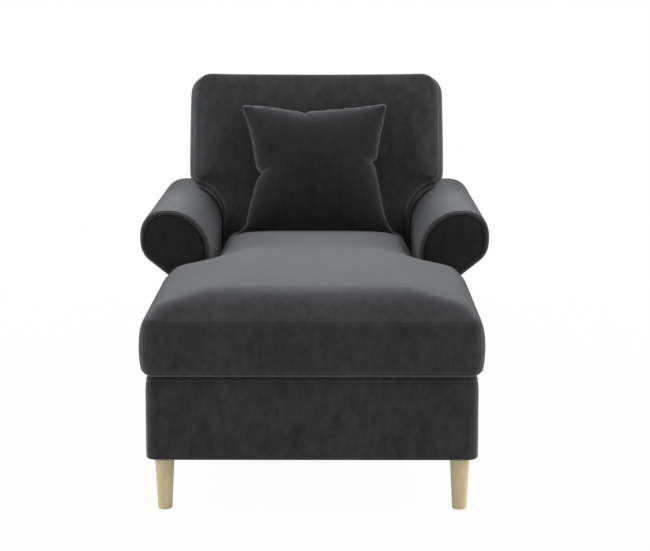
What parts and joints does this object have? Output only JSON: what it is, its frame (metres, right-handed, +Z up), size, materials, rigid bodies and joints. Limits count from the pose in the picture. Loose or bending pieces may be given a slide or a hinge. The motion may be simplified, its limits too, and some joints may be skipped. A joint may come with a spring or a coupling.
{
  "type": "chaise longue",
  "caption": "Long upholstered armchair with set-back scroll arms, T-shaped seat and back cushions, a scatter cushion and a sprung base on tapered legs.",
  "frame": {"origin": "on the floor under the middle of the chair", "axes": "+Z up, +Y from the front of the seat to the back, +X to the right as seen from the front"},
  "size_m": [0.931, 1.5964, 0.957],
  "materials": {
    "velvet": "dark charcoal cut velvet with a soft sheen",
    "leg_oak": "pale oak, satin lacquer",
    "frame_timber": "sawn beech and plywood, bare",
    "platform_cloth": "black platform cloth",
    "spring_steel": "drawn spring wire",
    "bolt_steel": "zinc-plated steel",
    "glide_plastic": "black moulded plastic",
    "zip_tape": "black woven tape with a coil chain",
    "zip_metal": "black enamelled zinc"
  },
  "bodies": {
    "frame": {"arm_facing_left": "velvet", "arm_facing_right": "velvet", "arm_front_board_left": "frame_timber", "arm_front_board_right": "frame_timber", "arm_outside_panel_left": "velvet", "arm_outside_panel_right": "velvet", "arm_pad_left": "velvet", "arm_pad_right": "velvet", "arm_piping_left": "velvet", "arm_piping_right": "velvet", "arm_rear_board_left": "velvet", "arm_rear_board_right": "velvet", "arm_stretcher_left": "frame_timber", "arm_stretcher_right": "frame_timber", "back_pad": "velvet", "back_post_left": "frame_timber", "back_post_right": "frame_timber", "back_stile_left": "velvet", "back_stile_right": "velvet", "back_top_rail": "velvet", "base_border_front": "velvet", "base_border_left": "velvet", "base_border_rear": "velvet", "base_border_right": "velvet", "corner_block_front_left": "frame_timber", "corner_block_front_right": "frame_timber", "corner_block_rear_left": "frame_timber", "corner_block_rear_right": "frame_timber", "cross_rail": "frame_timber", "dust_cover": "platform_cloth", "leg_bolt_front_left": "bolt_steel", "leg_bolt_front_right": "bolt_steel", "leg_bolt_rear_left": "bolt_steel", "leg_bolt_rear_right": "bolt_steel", "leg_front_left": "leg_oak", "leg_front_right": "leg_oak", "leg_glide_front_left": "glide_plastic", "leg_glide_front_right": "glide_plastic", "leg_glide_rear_left": "glide_plastic", "leg_glide_rear_right": "glide_plastic", "leg_rear_left": "leg_oak", "leg_rear_right": "leg_oak", "outside_back": "velvet", "rail_front": "frame_timber", "rail_left": "frame_timber", "rail_rear": "frame_timber", "rail_right": "frame_timber", "seat_deck": "platform_cloth", "seat_spring_1": "spring_steel", "seat_spring_2": "spring_steel", "seat_spring_3": "spring_steel", "seat_spring_4": "spring_steel", "seat_spring_5": "spring_steel", "seat_spring_6": "spring_steel"},
    "seat_cushion": {"seat_cushion": "velvet", "seat_zip": "zip_tape"},
    "scatter_cushion": {"scatter_cushion": "velvet"},
    "back_cushion": {"back_cushion": "velvet"},
    "seat_zip_slider": {"seat_zip_slider": "zip_metal"}
  },
  "joints": [
    {"name": "seat_cushion_lift", "type": "slide", "parent": "frame", "child": "seat_cushion", "axis": [0, 0, 1], "range_m": [0, 0.32]},
    {"name": "scatter_cushion_lift", "type": "slide", "parent": "seat_cushion", "child": "scatter_cushion", "axis": [0, 0, 1], "range_m": [0, 0.45]},
    {"name": "back_cushion_lift", "type": "slide", "parent": "frame", "child": "back_cushion", "axis": [0, 0.1908, 0.9816], "range_m": [0, 0.33]},
    {"name": "seat_zip_slide", "type": "slide", "parent": "seat_cushion", "child": "seat_zip_slider", "axis": [-1, 0, 0], "range_m": [0, 0.408]}
  ]
}
